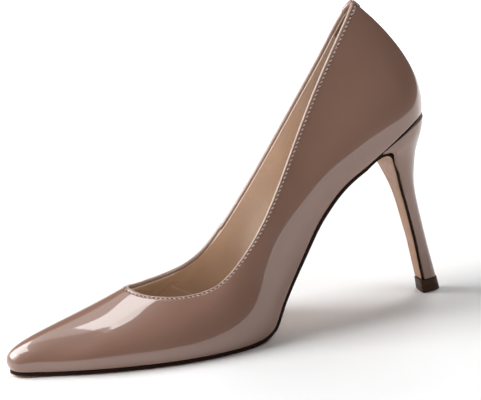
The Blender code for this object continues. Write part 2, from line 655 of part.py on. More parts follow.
def main():
    patent = make_material("nude_patent", (0.27, 0.15, 0.11), 0.12, coat=1.0)
    lining = make_material("tan_lining", (0.42, 0.28, 0.18), 0.6)
    grip = make_material("heel_grip", (0.45, 0.31, 0.20), 0.75)
    board = make_material("stiffener_board", (0.62, 0.55, 0.42), 0.85)
    tape = make_material("topline_tape", (0.8, 0.78, 0.72), 0.8)
    sole_leather = make_material("sole_leather", (0.44, 0.29, 0.19), 0.5)
    cork = make_material("cork", (0.42, 0.27, 0.15), 0.9)
    insole_board = make_material("insole_board", (0.55, 0.42, 0.30), 0.85)
    steel = make_material("steel", (0.55, 0.56, 0.58), 0.3, metallic=1.0)
    brass = make_material("brass", (0.72, 0.53, 0.25), 0.3, metallic=1.0)
    foam = make_material("foam", (0.85, 0.82, 0.72), 0.95)
    sock = make_material("sock", (0.50, 0.35, 0.23), 0.6)
    plastic = make_material("heel_plastic", (0.75, 0.72, 0.66), 0.45)
    edge_leather = make_material("edge_leather", (0.04, 0.015, 0.008), 0.4)
    rubber = make_material("top_lift", (0.05, 0.022, 0.012), 0.45)

    make_upper(patent)
    make_back_tab(patent)
    make_stiffeners(board, tape)
    make_linings(lining, grip)
    make_outsole(sole_leather)
    shank_board, insole = make_bottom(cork, board, foam, sock, insole_board)
    make_shank(shank_board, steel, brass)
    rand = make_heel_seat_rand(edge_leather)
    core = make_heel(plastic, patent)
    make_heel_fasteners([rand, shank_board, insole], core, steel, brass)
    make_heel_tube(core, make_top_lift(rubber), steel)


main()
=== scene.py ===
"""High heel pump, left shoe: the detailed look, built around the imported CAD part.

Lengths are millimetres in a design frame until a mesh is made: x from the toe tip to the heel,
y positive on the medial side, z up from the ground. The upper is a surface with two numbers:
a station (0 toe, 12 heel back, 24 toe again) and a height (0 lower edge, 1 topline).
"""

import math

import bpy
import numpy as np
from mathutils import Matrix, Vector


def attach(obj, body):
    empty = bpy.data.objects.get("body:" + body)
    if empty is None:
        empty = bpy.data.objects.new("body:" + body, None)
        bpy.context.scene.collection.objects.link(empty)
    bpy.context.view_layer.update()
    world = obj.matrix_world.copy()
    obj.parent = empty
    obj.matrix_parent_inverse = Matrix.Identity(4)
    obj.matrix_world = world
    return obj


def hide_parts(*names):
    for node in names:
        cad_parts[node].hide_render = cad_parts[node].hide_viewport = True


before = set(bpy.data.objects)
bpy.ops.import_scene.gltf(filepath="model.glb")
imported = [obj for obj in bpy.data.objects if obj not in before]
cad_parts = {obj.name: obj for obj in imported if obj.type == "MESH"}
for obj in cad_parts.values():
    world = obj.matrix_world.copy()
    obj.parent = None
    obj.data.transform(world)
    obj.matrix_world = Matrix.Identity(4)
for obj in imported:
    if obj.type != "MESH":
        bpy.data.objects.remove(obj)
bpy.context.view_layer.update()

MM = 0.001
CENTRE_X, CENTRE_Y = 112.1, 0.81
GAP = 0.3
LATERAL, MEDIAL = -1.0, 1.0

# ---- sizes shared with the CAD part

UPPER_THICKNESS, STIFFENER_THICKNESS = 1.1, 0.8
LINING_DEPTH = UPPER_THICKNESS + STIFFENER_THICKNESS + 2 * GAP
OUTSOLE_THICKNESS, FILLER_THICKNESS, INSOLE_THICKNESS = 2.2, 2.0, 1.6
PAD_THICKNESS, SOCK_THICKNESS = 1.4, 0.7
EDGE_LEVEL = OUTSOLE_THICKNESS + 1.5 * GAP
INSOLE_LEVEL = OUTSOLE_THICKNESS + FILLER_THICKNESS + 2 * GAP
PAD_LEVEL = INSOLE_LEVEL + INSOLE_THICKNESS + GAP
SOCK_LEVEL = PAD_LEVEL + PAD_THICKNESS + GAP

TREAD_PROFILE = [
    (0, 1.3), (10, 0.5), (20, 0.0), (45, 0.0), (80, 0.0), (108, 0.0), (119, 0.7), (127, 3.8), (135, 15.6),
    (147, 32.6), (160, 52.4), (172, 65.4), (186, 74.8), (197, 82.0), (205, 87.0), (213, 91.0), (222, 93.2),
]
TOE_X, HEEL_X = TREAD_PROFILE[0][0], TREAD_PROFILE[-1][0]

# Edge (x, half width), lower handle, upper handle (x, out, up), topline (x, half width, z).
UPPER_LINES = [
    ((1.0, 0.0), (-6.8, 0.0, 12.8), (-39.0, 0.0, -14.9), (62.6, 0.0, 32.8)),
    ((3.7, 6.2), (-2.8, 1.5, 10.3), (-36.5, 1.0, -12.9), (67.0, 8.5, 30.8)),
    ((14.0, 11.0), (-3.3, 3.5, 9.9), (-27.7, 2.6, -11.2), (74.0, 14.3, 29.6)),
    ((32.0, 19.5), (-4.4, 5.2, 9.6), (-19.3, 4.1, -10.5), (82.0, 19.0, 29.2)),
    ((58.0, 28.8), (-1.4, 5.0, 9.4), (-12.6, 5.5, -10.4), (92.0, 22.3, 30.1)),
    ((88.0, 34.3), (1.0, 3.5, 9.0), (-6.0, 6.5, -11.0), (103.0, 23.9, 34.0)),
    ((116.0, 31.0), (-0.5, 3.5, 12.0), (-1.0, 5.5, -13.0), (115.0, 23.6, 44.2)),
    ((140.0, 20.2), (-4.0, 5.5, 12.0), (3.0, 5.5, -14.0), (128.0, 21.9, 60.0)),
    ((163.0, 18.4), (-7.0, 5.5, 13.0), (7.0, 5.0, -16.0), (143.0, 16.4, 82.5)),
    ((187.0, 20.3), (-8.0, 3.5, 15.0), (10.0, 5.0, -17.0), (159.0, 10.3, 108.1)),
    ((205.6, 19.0), (-4.4, 2.8, 17.6), (13.6, 4.5, -15.5), (174.2, 6.6, 131.3)),
    ((216.4, 11.5), (0.0, 2.0, 18.4), (16.4, 3.0, -15.2), (185.2, 4.7, 147.6)),
    ((220.8, 0.0), (4.0, 0.0, 18.1), (16.6, 0.0, -15.0), (189.8, 0.0, 153.4)),
]
MEDIAL_EDGE_CHANGES = {
    2: (0, 0.8), 3: (0, 2.0), 4: (-2, 2.2), 5: (-5, 2.0), 6: (-7, 0.4), 7: (-4, -1.8), 8: (-2, -1.8),
}
BACK_LINE = len(UPPER_LINES) - 1
WHOLE_ROUND = 2 * BACK_LINE
SIDE_SEAM_LINE, LINING_SEAM_LINE, HEEL_GRIP_LINE = 6.3, 4.4, 10.4

HEEL_SECTIONS = [
    (214.9, 7.2, 222.5, 7.2, 4.4, 0.0),
    (213.4, 16.0, 220.9, 15.5, 4.7, 0.0),
    (211.8, 28.0, 218.6, 27.5, 5.1, 0.0),
    (209.9, 38.0, 216.8, 38.0, 5.6, 0.0),
    (207.5, 50.0, 214.9, 50.0, 6.2, 0.0),
    (205.3, 58.7, 214.2, 60.7, 7.6, 0.0),
    (202.9, 66.5, 214.7, 69.2, 11.0, 0.2),
    (201.3, 72.0, 215.8, 76.0, 13.6, 0.5),
    (200.3, 76.5, 217.6, 82.0, 16.2, 0.8),
    (199.4, 79.0, 219.1, 86.5, 17.9, 1.2),
    (197.2, 80.4, 220.0, 89.9, 18.9, 1.5),
    (193.5, 80.3, 220.6, 93.0, 19.4, 1.8),
]
SQUARENESS = 2.4
BREAST_LINE = [
    (186.0, 74.6, 18.8), (190.2, 77.0, 18.4), (194.0, 77.8, 17.6), (197.0, 76.6, 16.0), (198.7, 73.4, 14.2),
    (201.0, 67.0, 11.3), (203.6, 58.7, 7.6), (205.9, 50.0, 6.2), (208.3, 38.0, 5.6), (210.2, 28.0, 5.1),
    (211.9, 16.0, 4.7), (213.2, 7.3, 4.4),
]
FLAP_THICKNESS, SKIVING_X = 1.2, (176.0, 190.0)
LIFT_HEIGHT, LIFT_FRONT_X, LIFT_BACK_X, LIFT_HALF_WIDTH = 6.9, 213.6, 224.2, 4.7

# ---- sizes of the finish

RIM_RADIUS = 0.9            # half thickness of the folded topline
TUCK_ANGLES = (95, 70, 45, 22)
TUCK_ROWS = len(TUCK_ANGLES)
SEAT_START_X = 178          # behind this the turned-under edge gets the painted highlight
FOLD_ANGLES = (12, 28, 46, 66, 90, 114, 136, 158, 180)
FOLD_DROPS = (0.8, 1.8, 3.0)
FOLD_ROWS = len(FOLD_ANGLES) + len(FOLD_DROPS)
STITCH_PITCH, STITCH_LENGTH, STITCH_RADIUS = 2.25, 2.0, 0.27
STITCH_DISTANCE = 2.1       # stitch line under the topline
GROOVE_DEPTH, GROOVE_WIDTH = 0.16, 0.5
LINING_START = 1.5          # the lining's top under the topline
TAB_LATERAL_SPAN, TAB_MEDIAL_SPAN = 0.35, 0.95
TREAD_POINTS, INNER_POINTS, PAINTED_FACES = 15, 7, 4    # round the outsole's section
TUCK_RADIUS = 0.7           # the upper's lower edge, turned under
SEAM_VALLEY = (0.32, 0.55)  # depth and half width of the back seam
STITCH_SLANT = -28          # degrees

# Stage, in metres and degrees. The camera stands in the design frame, in millimetres.
FLOOR_GLOW, GLOW_REACH = 1.0, 1.0   # brightness of the distant floor, and how far off it is full
LIGHT_DISTANCE = 1.3
ROOM_LIGHT, BACKDROP_LIGHT = 0.02, 0.7
CAMERA_PLACE = (-74.2, -684.9, 255.8)
CAMERA_YAW, CAMERA_PITCH, CAMERA_ROLL = 16.1, 15.0, 6.15
CAMERA_LENS, SENSOR_WIDTH = 113.5, 36


# ---- curves

def cubic_through(knots, values, samples, closed=False):
    """Smooth (second-order continuous) curve through the values, read at the samples."""
    knots = np.asarray(knots, float)
    values = np.asarray(values, float)
    flat = values.reshape(len(knots), -1)
    count = len(knots)
    steps = np.diff(knots)
    slopes = np.diff(flat, axis=0) / steps[:, None]
    system = np.zeros((count, count))
    right = np.zeros_like(flat)
    for i in range(1, count - 1):
        system[i, i - 1:i + 2] = steps[i - 1], 2 * (steps[i - 1] + steps[i]), steps[i]
        right[i] = 6 * (slopes[i] - slopes[i - 1])
    if closed:
        system[0, [0, -1]] = 1, -1
        system[-1, [0, 1, -2, -1]] = 2 * steps[0], steps[0], steps[-1], 2 * steps[-1]
        right[-1] = 6 * (slopes[0] - slopes[-1])
    else:
        system[0, 0] = system[-1, -1] = 1
    bends = np.linalg.solve(system, right)
    samples = np.clip(np.asarray(samples, float), knots[0], knots[-1])
    span = np.clip(np.searchsorted(knots, samples) - 1, 0, count - 2)
    step = steps[span][:, None]
    before = (knots[span + 1] - samples)[:, None] / step
    after = 1 - before
    result = before * flat[span] + after * flat[span + 1]
    result += ((before ** 3 - before) * bends[span] + (after ** 3 - after) * bends[span + 1]) * step ** 2 / 6
    return result.reshape((len(samples),) + values.shape[1:])


def monotone_through(points, samples):
    """Curve z(x) through the points that never overshoots between them."""
    x, z = np.array(points, float).T
    steps = np.diff(x)
    slopes = np.diff(z) / steps
    tangents = np.zeros_like(x)
    for i in range(1, len(x) - 1):
        if slopes[i - 1] * slopes[i] > 0:
            weight_a = 2 * steps[i] + steps[i - 1]
            weight_b = steps[i] + 2 * steps[i - 1]
            tangents[i] = (weight_a + weight_b) / (weight_a / slopes[i - 1] + weight_b / slopes[i])
    tangents[0], tangents[-1] = slopes[0], slopes[-1]
    samples = np.clip(np.asarray(samples, float), x[0], x[-1])
    span = np.clip(np.searchsorted(x, samples) - 1, 0, len(x) - 2)
    t = (samples - x[span]) / steps[span]
    return ((1 + 2 * t) * (1 - t) ** 2 * z[span] + t * (1 - t) ** 2 * steps[span] * tangents[span]
            + t ** 2 * (3 - 2 * t) * z[span + 1] + t ** 2 * (t - 1) * steps[span] * tangents[span + 1])


def tread_height(x):
    return monotone_through(TREAD_PROFILE, x)


def tread_normal(x):
    """The tread's upward normal in the side view, as x and z parts."""
    slope = tread_height(np.asarray(x, float) + 0.5) - tread_height(np.asarray(x, float) - 0.5)
    size = np.sqrt(1 + slope ** 2)
    return -slope / size, 1 / size


def tread_level(x, level):
    """The point of the side view that lies a given level above the tread at x, along its normal."""
    lean, rise = tread_normal(x)
    return x + level * lean, tread_height(x) + level * rise


def height_at_level(x, level):
    along, height = tread_level(np.linspace(TOE_X, HEEL_X, 445), level)
    return np.interp(np.asarray(x, float), along, height)


def smooth_step(low, high, x):
    t = np.clip((x - low) / (high - low), 0, 1)
    return t * t * (3 - 2 * t)


# ---- the upper's surface

def upper_stations():
    """Control lines all the way round: toe, lateral side, heel back, medial side, toe again."""
    lines = []
    for side in (LATERAL, MEDIAL):
        numbers = range(BACK_LINE) if side == LATERAL else range(BACK_LINE, -1, -1)
        for number in numbers:
            (edge_x, edge_w), low, high, (rim_x, rim_w, rim_z) = UPPER_LINES[number]
            if side == MEDIAL and number in MEDIAL_EDGE_CHANGES:
                edge_x += MEDIAL_EDGE_CHANGES[number][0]
                edge_w += MEDIAL_EDGE_CHANGES[number][1]
            edge = np.array([edge_x, side * edge_w, float(height_at_level(edge_x, EDGE_LEVEL))])
            rim = np.array([rim_x, side * rim_w, rim_z])
            turn = np.array([1, side, 1])
            lines.append([edge, edge + turn * low, rim + turn * high, rim])
    return np.array(lines)


STATIONS = upper_stations()
STATION_STEPS = np.linalg.norm(np.diff(STATIONS.mean(axis=1), axis=0), axis=1)
STATION_KNOTS = np.concatenate([[0], np.cumsum(np.sqrt(STATION_STEPS))])


def upper_point(station, height):
    station, height = np.broadcast_arrays(np.asarray(station, float), np.asarray(height, float))
    knots = np.interp(np.mod(station.ravel(), WHOLE_ROUND), np.arange(len(STATIONS)), STATION_KNOTS)
    lines = cubic_through(STATION_KNOTS, STATIONS, knots, closed=True)
    correction = height_at_level(lines[:, 0, 0], EDGE_LEVEL) - lines[:, 0, 2]
    lines[:, :2, 2] += correction[:, None]
    h = height.ravel()[:, None]
    points = ((1 - h) ** 3 * lines[:, 0] + 3 * h * (1 - h) ** 2 * lines[:, 1]
              + 3 * h ** 2 * (1 - h) * lines[:, 2] + h ** 3 * lines[:, 3])
    return points.reshape(station.shape + (3,))


def unit(vectors):
    return vectors / np.linalg.norm(vectors, axis=-1, keepdims=True)


def run_along(points):
    """Distance from the first point to each point of a line."""
    return np.concatenate([[0], np.cumsum(np.linalg.norm(np.diff(points, axis=0), axis=1))])


def upper_frame(station, height):
    """Point, inward normal, upward direction and forward-going direction on the outer face."""
    small = 0.02
    station, height = np.broadcast_arrays(np.asarray(station, float), np.asarray(height, float))
    low, high = np.clip(height - small, 0, 1), np.clip(height + small, 0, 1)
    across = upper_point(station + small, height) - upper_point(station - small, height)
    up = upper_point(station, high) - upper_point(station, low)
    return upper_point(station, height), unit(np.cross(up, across)), unit(up), unit(across)


def height_below(stations, distances):
    """Heights, one row per distance, that lie these distances under the topline."""
    heights = np.linspace(1, 0.5, 61)
    lines = upper_point(np.asarray(stations)[:, None], heights[None, :])
    run = np.cumsum(np.linalg.norm(np.diff(lines, axis=1), axis=-1), axis=1)
    run = np.concatenate([np.zeros((len(run), 1)), run], axis=1)
    return np.array([np.interp(distances, row, heights) for row in run]).T


def even_stations(first, last, spacing, height):
    """Stations a given distance apart along the surface, measured at one height."""
    fine = np.linspace(first, last, 600)
    run = run_along(upper_point(fine, height))
    count = max(2, int(round(run[-1] / spacing)) + 1)
    return np.interp(np.linspace(0, run[-1], count), run, fine)


# ---- meshes

def to_world(points):
    return (np.asarray(points, float).reshape(-1, 3) - [CENTRE_X, CENTRE_Y, 0]) * MM


def grid_faces(rows, columns, closed=False, start=0):
    faces = []
    across = columns if closed else columns - 1
    for i in range(rows - 1):
        for j in range(across):
            k = (j + 1) % columns
            faces.append((start + i * columns + j, start + i * columns + k,
                          start + (i + 1) * columns + k, start + (i + 1) * columns + j))
    return faces


def link_object(name, data):
    obj = bpy.data.objects.new(name, data)
    bpy.context.scene.collection.objects.link(obj)
    return obj


def add_piece(name, points, faces, materials, replaced=(), face_slots=None):
    """A shown mesh that rides on the shoe and stands for the CAD nodes it replaces."""
    mesh = bpy.data.meshes.new(name)
    mesh.from_pydata([tuple(p) for p in to_world(points)], [], faces)
    mesh.update()
    mesh.shade_smooth()
    obj = link_object(name, mesh)
    for material in materials:
        mesh.materials.append(material)
    if face_slots is not None:
        mesh.polygons.foreach_set("material_index", face_slots)
    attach(obj, "root")
    if replaced:
        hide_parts(*replaced)
    return obj


def add_sheet(name, grid, materials, replaced, face_slots=None):
    """A piece whose mesh is one open grid of points and stands for one CAD node."""
    faces = grid_faces(*grid.shape[:2])
    return add_piece(name, grid, faces, materials, [replaced], face_slots)


def thicken(obj, thickness, bevel):
    """Gives a sheet its thickness and slightly rounded edges."""
    solidify = obj.modifiers.new("thickness", "SOLIDIFY")
    solidify.thickness = thickness * MM
    solidify.offset = -1.0
    solidify.use_quality_normals = True
    rounding = obj.modifiers.new("edges", "BEVEL")
    rounding.width = bevel * MM
    rounding.segments = 2
    rounding.limit_method = "ANGLE"
    rounding.angle_limit = math.radians(50)


# ---- materials

def map_range(tree, factor, low, high, low_value=0.0, high_value=1.0, kind="LINEAR"):
    """A node that runs from one value to another while its factor runs from low to high."""
    node = tree.nodes.new("ShaderNodeMapRange")
    node.interpolation_type = kind
    values = {"From Min": low, "From Max": high, "To Min": low_value, "To Max": high_value}
    for socket, value in values.items():
        node.inputs[socket].default_value = value
    tree.links.new(factor, node.inputs["Value"])
    return node.outputs["Result"]


class Maker:
    """A Principled material and short ways to give it colour variation and relief."""

    def __init__(self, name, colour, roughness, metallic=0.0, **sockets):
        self.material = bpy.data.materials.new(name)
        self.material.use_nodes = True
        self.tree = self.material.node_tree
        self.nodes, self.links = self.tree.nodes, self.tree.links
        self.shader = self.nodes["Principled BSDF"]
        self.colour = colour
        self.shader.inputs["Base Color"].default_value = (*colour, 1)
        self.shader.inputs["Roughness"].default_value = roughness
        self.shader.inputs["Metallic"].default_value = metallic
        for socket, value in sockets.items():
            self.shader.inputs[socket.replace("_", " ")].default_value = value
        self.place = self.nodes.new("ShaderNodeTexCoord").outputs["Object"]
        self.relief = None

    def stretched(self, scale):
        mapping = self.nodes.new("ShaderNodeMapping")
        mapping.inputs["Scale"].default_value = scale
        self.links.new(self.place, mapping.inputs["Vector"])
        return mapping.outputs["Vector"]

    def noise(self, size, detail=2.0, stretch=(1, 1, 1)):
        """Noise whose lumps are about this many millimetres across."""
        node = self.nodes.new("ShaderNodeTexNoise")
        node.inputs["Scale"].default_value = 1 / (size * MM)
        node.inputs["Detail"].default_value = detail
        self.links.new(self.stretched(stretch), node.inputs["Vector"])
        return node.outputs["Fac"]

    def cells(self, size, feature="F1"):
        node = self.nodes.new("ShaderNodeTexVoronoi")
        node.feature = feature
        node.inputs["Scale"].default_value = 1 / (size * MM)
        self.links.new(self.place, node.inputs["Vector"])
        return node.outputs["Distance"]

    def waves(self, size, direction="DIAGONAL"):
        node = self.nodes.new("ShaderNodeTexWave")
        node.bands_direction = direction
        node.inputs["Scale"].default_value = 0.314 / (size * MM)
        node.inputs["Distortion"].default_value = 0.0
        self.links.new(self.place, node.inputs["Vector"])
        return node.outputs["Fac"]

    def tint(self, factor, colour, low=0.3, high=0.7):
        """Blends the base colour towards another where the factor is high."""
        mix = self.nodes.new("ShaderNodeMix")
        mix.data_type = "RGBA"
        self.links.new(map_range(self.tree, factor, low, high), mix.inputs["Factor"])
        base = self.shader.inputs["Base Color"]
        if base.is_linked:
            self.links.new(base.links[0].from_socket, mix.inputs["A"])
        else:
            mix.inputs["A"].default_value = (*self.colour, 1)
        mix.inputs["B"].default_value = (*colour, 1)
        self.links.new(mix.outputs["Result"], base)

    def gloss(self, factor, low, high):
        """Roughness that runs from low to high with the factor."""
        roughness = map_range(self.tree, factor, 0.3, 0.7, low, high)
        self.links.new(roughness, self.shader.inputs["Roughness"])

    def bump(self, factor, height, coat=False):
        """Relief of this many millimetres."""
        node = self.nodes.new("ShaderNodeBump")
        node.inputs["Strength"].default_value = 1.0
        node.inputs["Distance"].default_value = height * MM
        self.links.new(factor, node.inputs["Height"])
        if self.relief:
            self.links.new(self.relief, node.inputs["Normal"])
        self.relief = node.outputs["Normal"]
        self.links.new(self.relief, self.shader.inputs["Normal"])
        if coat:
            self.links.new(self.relief, self.shader.inputs["Coat Normal"])


PATENT_COLOUR = (0.285, 0.158, 0.116)


def make_patent():
    """Mirror-gloss patent: a clear coat with a very slight orange peel over dusty nude leather."""
    maker = Maker("nude_patent", PATENT_COLOUR, 0.32, Coat_Weight=1.0, Coat_Roughness=0.035, Coat_IOR=1.6)
    maker.tint(maker.noise(34.0, 3.0), (0.262, 0.142, 0.102))
    maker.bump(maker.noise(14.0, 1.0), 0.004, coat=True)
    maker.bump(maker.noise(2.2, 1.0), 0.0012, coat=True)
    return maker.material


def make_highlight_patent():
    """The same patent a little paler: a painted highlight, on the fold of the topline and on the edge turned
    under at the heel.
    """
    maker = Maker("painted_highlight_patent", (0.46, 0.33, 0.275), 0.32, Coat_Weight=0.6, Coat_Roughness=0.08)
    maker.tint(maker.noise(3.0, 3.0), (0.41, 0.285, 0.235))
    return maker.material


def make_lining_leather():
    maker = Maker("tan_lining_leather", (0.82, 0.66, 0.54), 0.30)
    maker.tint(maker.noise(18.0, 4.0), (0.78, 0.615, 0.495))
    maker.tint(maker.noise(0.9, 2.0), (0.72, 0.56, 0.45), 0.55, 0.9)
    maker.gloss(maker.noise(6.0, 3.0), 0.26, 0.36)
    maker.bump(maker.cells(0.7, "SMOOTH_F1"), 0.035)
    maker.bump(maker.noise(0.35, 3.0), 0.02)
    return maker.material


def make_grip_leather():
    maker = Maker("heel_grip_suede", (0.36, 0.235, 0.16), 0.85, Sheen_Weight=0.2, Sheen_Roughness=0.5)
    maker.tint(maker.noise(4.0, 5.0), (0.29, 0.185, 0.12))
    maker.bump(maker.noise(0.25, 4.0), 0.06)
    return maker.material


def make_sock_leather():
    maker = Maker("sock_leather", (0.56, 0.415, 0.30), 0.46, Sheen_Weight=0.1)
    maker.tint(maker.noise(26.0, 3.0), (0.49, 0.35, 0.245))
    maker.gloss(maker.noise(5.0, 3.0), 0.38, 0.55)
    maker.bump(maker.cells(0.8, "SMOOTH_F1"), 0.03)
    maker.bump(maker.noise(0.4, 3.0), 0.015)
    return maker.material


def make_sole_leather():
    """Smooth tan leather with long faint fibres, pores and a little shade variation."""
    maker = Maker("tan_sole_leather", (0.50, 0.275, 0.155), 0.48, Specular_IOR_Level=0.35)
    maker.tint(maker.noise(9.0, 5.0, (0.35, 1, 1)), (0.42, 0.22, 0.12))
    maker.tint(maker.noise(0.6, 2.0), (0.35, 0.18, 0.09), 0.62, 0.85)
    maker.gloss(maker.noise(4.0, 3.0), 0.34, 0.52)
    maker.bump(maker.noise(0.5, 3.0, (0.4, 1, 1)), 0.02)
    return maker.material


def make_edge_paint():
    """Dark brown edge ink, laid over the cut fibres of the sole's side."""
    maker = Maker("dark_edge_paint", (0.014, 0.005, 0.003), 0.5, Specular_IOR_Level=0.1)
    maker.tint(maker.noise(5.0, 4.0), (0.022, 0.009, 0.005))
    maker.bump(maker.noise(0.7, 3.0, (0.25, 0.25, 1)), 0.03)
    return maker.material


def make_thread():
    """Pale waxed thread; the diagonal waves are its twist."""
    maker = Maker("pale_thread", (0.74, 0.58, 0.50), 0.55, Sheen_Weight=0.3)
    maker.tint(maker.waves(0.28), (0.55, 0.40, 0.33), 0.2, 0.8)
    maker.bump(maker.waves(0.28), 0.05)
    return maker.material


def make_hole_shade():
    # near black: painted shade that stands for the inside of each stitch hole
    maker = Maker("stitch_hole_painted_shade", (0.016, 0.007, 0.005), 0.9, Specular_IOR_Level=0.1)
    maker.tint(maker.noise(0.3, 2.0), (0.030, 0.014, 0.010))
    return maker.material


def make_lift_rubber():
    """Hard brown polyurethane with a fine speckle and scuffs."""
    maker = Maker("lift_polyurethane", (0.045, 0.015, 0.004), 0.5, Specular_IOR_Level=0.25)
    maker.tint(maker.noise(0.5, 3.0), (0.085, 0.034, 0.015), 0.5, 0.75)
    maker.gloss(maker.noise(2.0, 4.0), 0.30, 0.5)
    maker.bump(maker.noise(0.35, 3.0), 0.03)
    return maker.material


def make_fibre(name, colour, dark, grain):
    maker = Maker(name, colour, 0.85)
    maker.tint(maker.noise(grain, 4.0, (0.3, 1, 1)), dark)
    maker.bump(maker.noise(grain, 4.0), 0.08)
    return maker.material


def make_cork():
    maker = Maker("cork_composition", (0.47, 0.29, 0.16), 0.9)
    maker.tint(maker.cells(1.6), (0.30, 0.17, 0.085), 0.1, 0.6)
    maker.bump(maker.cells(1.6), 0.25)
    return maker.material


def make_foam():
    maker = Maker("latex_foam", (0.86, 0.82, 0.70), 0.95, Subsurface_Weight=0.1)
    maker.tint(maker.cells(0.6), (0.70, 0.65, 0.52), 0.3, 0.8)
    maker.bump(maker.cells(0.6), 0.12)
    return maker.material


def make_metal(name, colour, dark, roughness):
    maker = Maker(name, colour, roughness, 1.0)
    maker.tint(maker.noise(3.0, 4.0), dark)
    maker.gloss(maker.noise(1.0, 3.0, (0.1, 1, 1)), roughness, roughness + 0.2)
    return maker.material


def make_plastic():
    maker = Maker("moulded_heel_plastic", (0.78, 0.75, 0.68), 0.42)
    maker.tint(maker.noise(12.0, 2.0), (0.72, 0.69, 0.62))
    maker.bump(maker.noise(0.5, 2.0), 0.015)
    return maker.material


def make_tape():
    maker = Maker("woven_tape", (0.82, 0.80, 0.74), 0.85, Sheen_Weight=0.3)
    maker.tint(maker.waves(0.5, "X"), (0.66, 0.64, 0.58), 0.3, 0.7)
    maker.bump(maker.waves(0.5, "Z"), 0.06)
    return maker.material


# ---- the outer shells

def shell_rows(stations):
    """Heights and inward offsets, row by row, from the lower edge up to where the fold starts."""
    near_rim = np.concatenate([
        [9.0, 7.6, 6.4, 5.4, 4.6, 4.0], np.arange(3.5, RIM_RADIUS, -0.2), [RIM_RADIUS],
    ])
    top = height_below(stations, near_rim)
    body = np.linspace(0, 1, 46)[:-1, None] * top[0][None, :]
    groove = GROOVE_DEPTH * np.exp(-((near_rim - STITCH_DISTANCE) / GROOVE_WIDTH) ** 2)
    swell = -0.05 * np.exp(-((near_rim - 1.2) / 0.4) ** 2)
    depths = np.concatenate([np.zeros(len(body)), groove + swell])
    return np.concatenate([body, top]), depths


def shell_grid(stations, sink):
    """The outer leather: tucked under at its lower edge, folded over at the topline.
    sink(points, heights) is an extra inward offset, for seams."""
    heights, depths = shell_rows(stations)
    points, inward, up, _ = upper_frame(stations, heights)
    points = points + inward * (depths[:, None] + sink(points, heights))[..., None]
    tuck = []
    for angle in np.radians(TUCK_ANGLES):
        side, down = TUCK_RADIUS * (1 - math.cos(angle)), TUCK_RADIUS * math.sin(angle)
        tuck.append(points[0] + inward[0] * side - up[0] * down)
    radius_in, radius_up = inward[-1] * RIM_RADIUS, up[-1] * RIM_RADIUS
    centre = points[-1] + radius_in
    fold = [centre - radius_in * math.cos(a) + radius_up * math.sin(a) for a in np.radians(FOLD_ANGLES)]
    fold += [centre + radius_in - up[-1] * drop for drop in FOLD_DROPS]
    return np.concatenate([np.array(tuck), points, np.array(fold)])


def add_shell(name, grid, patent, rim, replaced):
    """The folded top edge and the edge turned under at the heel get the paler patent, a painted highlight:
    slot 1.
    """
    slots = np.zeros((grid.shape[0] - 1, grid.shape[1] - 1), int)
    # painted highlight on the fold rows, and on the tuck rows behind SEAT_START_X
    slots[-FOLD_ROWS:] = 1
    slots[:TUCK_ROWS] = grid[TUCK_ROWS, :-1, 0] > SEAT_START_X
    add_sheet(name, grid, [patent, rim], replaced, slots.ravel())


def seam_distance(points, station, heights):
    """How far each point lies from the line of one station, taken at the point's own height."""
    return np.linalg.norm(points - upper_point(np.full(heights.shape, station), heights), axis=-1)


def seam_sink(station, depth, width):
    """A valley where two pieces meet edge to edge at a station."""
    def sink(points, heights):
        return depth * np.exp(-(seam_distance(points, station, heights) / width) ** 2)
    return sink


def lapped_sink(seam_station):
    """The vamp laps over the quarter: raised by the leather under it, with a rounded cut edge."""
    back_valley = seam_sink(BACK_LINE, *SEAM_VALLEY)

    def sink(points, heights):
        distance = seam_distance(points, seam_station, heights)
        raised = 0.5 * (1 - smooth_step(1.5, 16, distance))
        edge = np.clip(1 - distance / 0.4, 0, 1)
        rounding = (raised + 0.25) * (1 - np.sqrt(1 - edge ** 2))
        return back_valley(points, heights) - raised + rounding
    return sink


def columns_between(first, last, fine_at):
    """Stations across a shell, with extra ones close to seams."""
    steps = np.array([0.01, 0.02, 0.035, 0.055, 0.08, 0.12, 0.17, 0.25, 0.35])
    stations = even_stations(first, last, 1.1, 0.45)
    for at in fine_at:
        near = at + np.concatenate([-steps[::-1], [0], steps])
        near = near[(near >= first) & (near <= last)]
        stations = stations[np.abs(stations - at) > steps[-1] + 0.01]
        stations = np.sort(np.concatenate([stations, near]))
    return stations


def make_shells(patent, rim):
    """The vamp runs on into the lateral quarter; the medial quarter starts under its cut edge."""
    seam = WHOLE_ROUND - SIDE_SEAM_LINE
    under = 0.12
    stations = columns_between(-SIDE_SEAM_LINE, BACK_LINE, (-SIDE_SEAM_LINE, BACK_LINE))
    grid = shell_grid(stations, lapped_sink(seam))
    add_shell("vamp_and_lateral_quarter", grid, patent, rim, "upper_vamp_and_lateral_quarter")
    stations = columns_between(BACK_LINE, seam + under, (BACK_LINE,))
    grid = shell_grid(stations, seam_sink(BACK_LINE, *SEAM_VALLEY))
    add_shell("medial_quarter", grid, patent, rim, "upper_medial_quarter")


# ---- stitches

def stitch_mesh(centres, along, outward, length, radius, lift):
    """Every stitch of one row as a short thread whose ends dive into the leather."""
    sides, steps = 8, 7
    points, faces = [], []
    for centre, direction, normal in zip(centres, unit(along), unit(outward)):
        cross = unit(np.cross(normal, direction))
        start = len(points)
        for t in np.linspace(-1, 1, steps):
            thickness = radius * (1 - 0.45 * t ** 4)
            rise = lift - (lift + radius * 1.3) * abs(t) ** 3
            middle = centre + direction * t * length / 2 + normal * rise
            for turn in np.linspace(0, 2 * math.pi, sides, endpoint=False):
                ring = cross * math.cos(turn) + normal * math.sin(turn)
                points.append(middle + ring * thickness)
        faces += grid_faces(steps, sides, True, start)
        faces.append(tuple(start + j for j in range(sides - 1, -1, -1)))
        faces.append(tuple(start + (steps - 1) * sides + j for j in range(sides)))
    return np.array(points), faces


